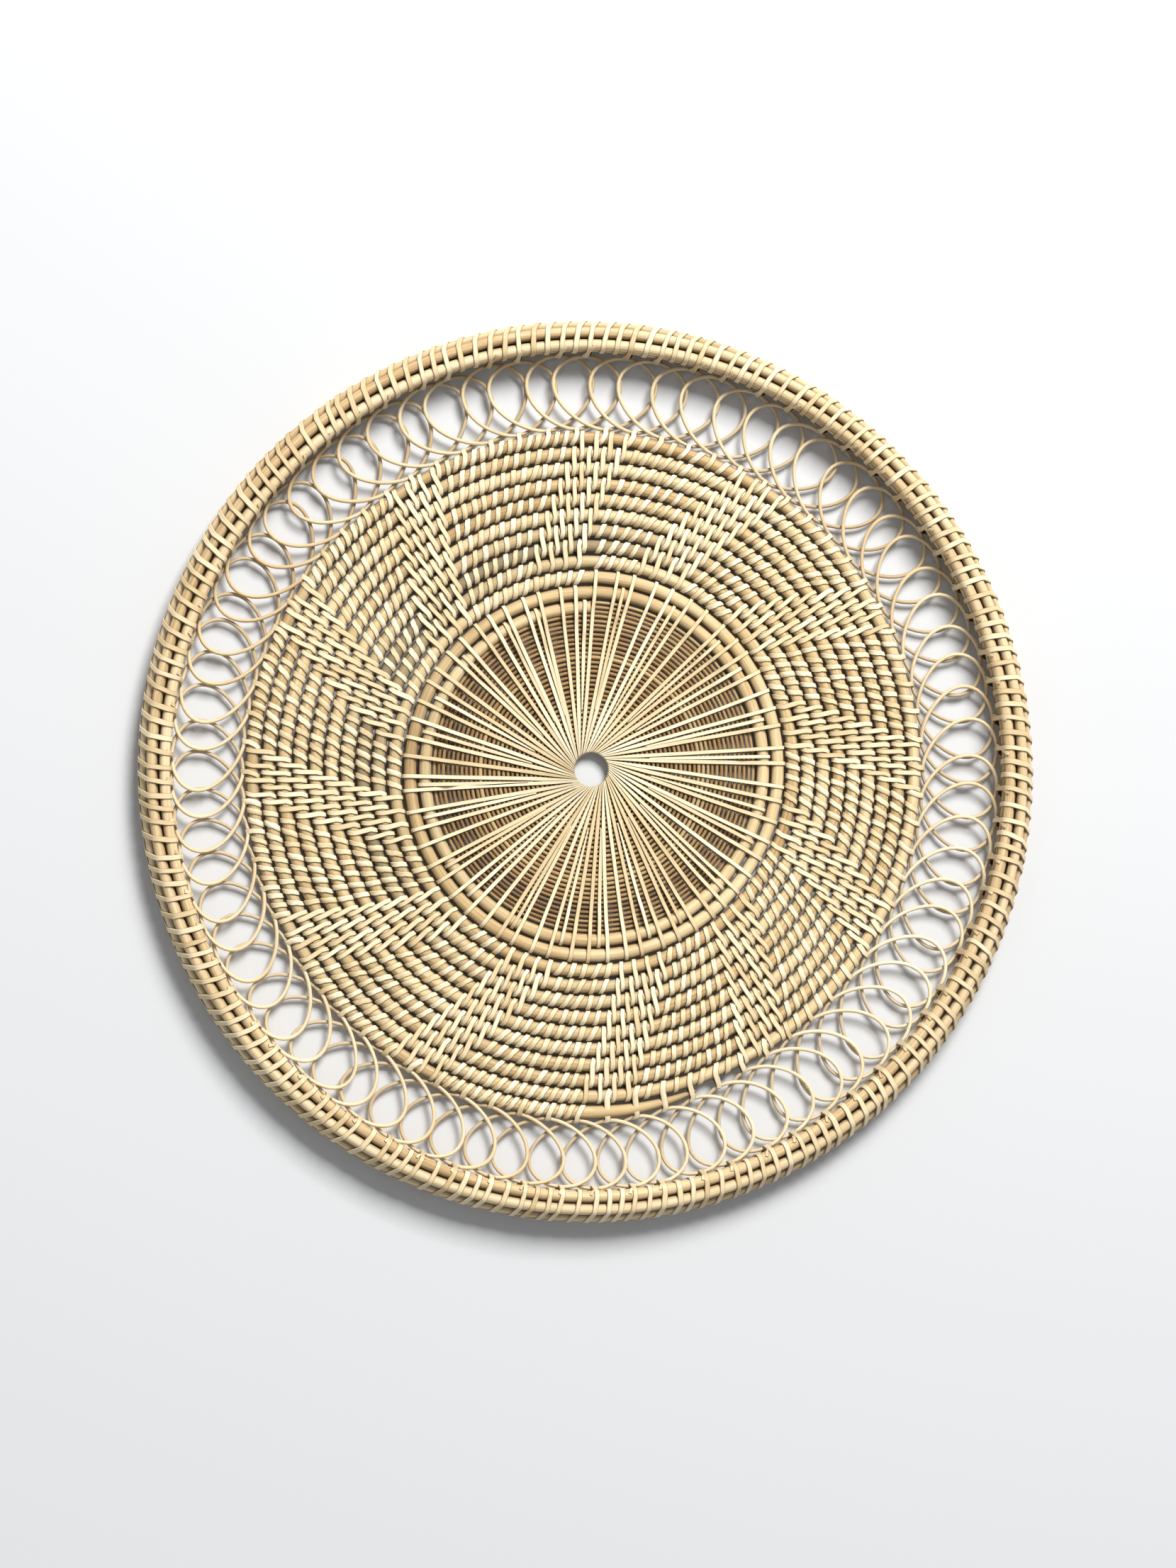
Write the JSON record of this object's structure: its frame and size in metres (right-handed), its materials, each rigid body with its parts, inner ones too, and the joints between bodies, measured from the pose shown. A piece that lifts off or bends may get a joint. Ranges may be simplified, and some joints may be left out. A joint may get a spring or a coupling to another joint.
{
  "type": "round rattan tray basket",
  "caption": "Round flat tray of coiled and bound rattan with a lace band of loops inside a lashed, raised rim and a small hole at the centre.",
  "frame": {"origin": "centre of the bounding box at the surface the tray stands on, on the axis of the centre hole", "axes": "+Z leaves the tray's face, along the axis of the centre hole; the tray is round, and +Y points to where the bound part of the coil begins"},
  "size_m": [0.4, 0.4, 0.0185],
  "materials": {
    "rim_rod": "satin",
    "rim_strip": "satin",
    "loop_core": "matte",
    "mat_rod": "matte",
    "mat_strip": "satin",
    "border_rod": "satin",
    "fine_rod": "matte",
    "spoke_strip": "satin"
  },
  "bodies": {
    "root": {"arm_01_long_stitches": "mat_strip", "arm_02_long_stitches": "mat_strip", "arm_03_long_stitches": "mat_strip", "arm_04_long_stitches": "mat_strip", "arm_05_long_stitches": "mat_strip", "arm_06_long_stitches": "mat_strip", "arm_07_long_stitches": "mat_strip", "arm_08_long_stitches": "mat_strip", "arm_09_long_stitches": "mat_strip", "arm_10_long_stitches": "mat_strip", "arm_11_long_stitches": "mat_strip", "arm_12_long_stitches": "mat_strip", "border_rod_1": "border_rod", "border_rod_2": "border_rod", "centre_fine_strand_1": "fine_rod", "centre_fine_strand_2": "fine_rod", "centre_fine_strand_3": "fine_rod", "centre_short_spokes": "spoke_strip", "centre_spokes": "spoke_strip", "coil_row_01": "mat_rod", "coil_row_01_wraps": "mat_strip", "coil_row_02": "mat_rod", "coil_row_02_wraps": "mat_strip", "coil_row_03": "mat_rod", "coil_row_03_wraps": "mat_strip", "coil_row_04": "mat_rod", "coil_row_04_wraps": "mat_strip", "coil_row_05": "mat_rod", "coil_row_05_wraps": "mat_strip", "coil_row_06": "mat_rod", "coil_row_06_wraps": "mat_strip", "coil_row_07": "mat_rod", "coil_row_07_wraps": "mat_strip", "coil_row_08": "mat_rod", "coil_row_08_wraps": "mat_strip", "coil_row_09": "mat_rod", "coil_row_09_wraps": "mat_strip", "coil_tail": "mat_rod", "coil_tail_wraps": "mat_strip", "loop_edge_stitches": "mat_strip", "loop_strand": "loop_core", "loop_ties": "rim_strip", "rim_hoop_core": "rim_rod", "rim_hoop_foot_inner": "rim_rod", "rim_hoop_foot_outer": "rim_rod", "rim_hoop_mid_inner": "rim_rod", "rim_hoop_side": "rim_rod", "rim_hoop_top_inner": "rim_rod", "rim_hoop_top_outer": "rim_rod", "rim_lashing": "rim_strip", "rim_lashing_fresh_strips": "rim_strip"}
  },
  "joints": []
}
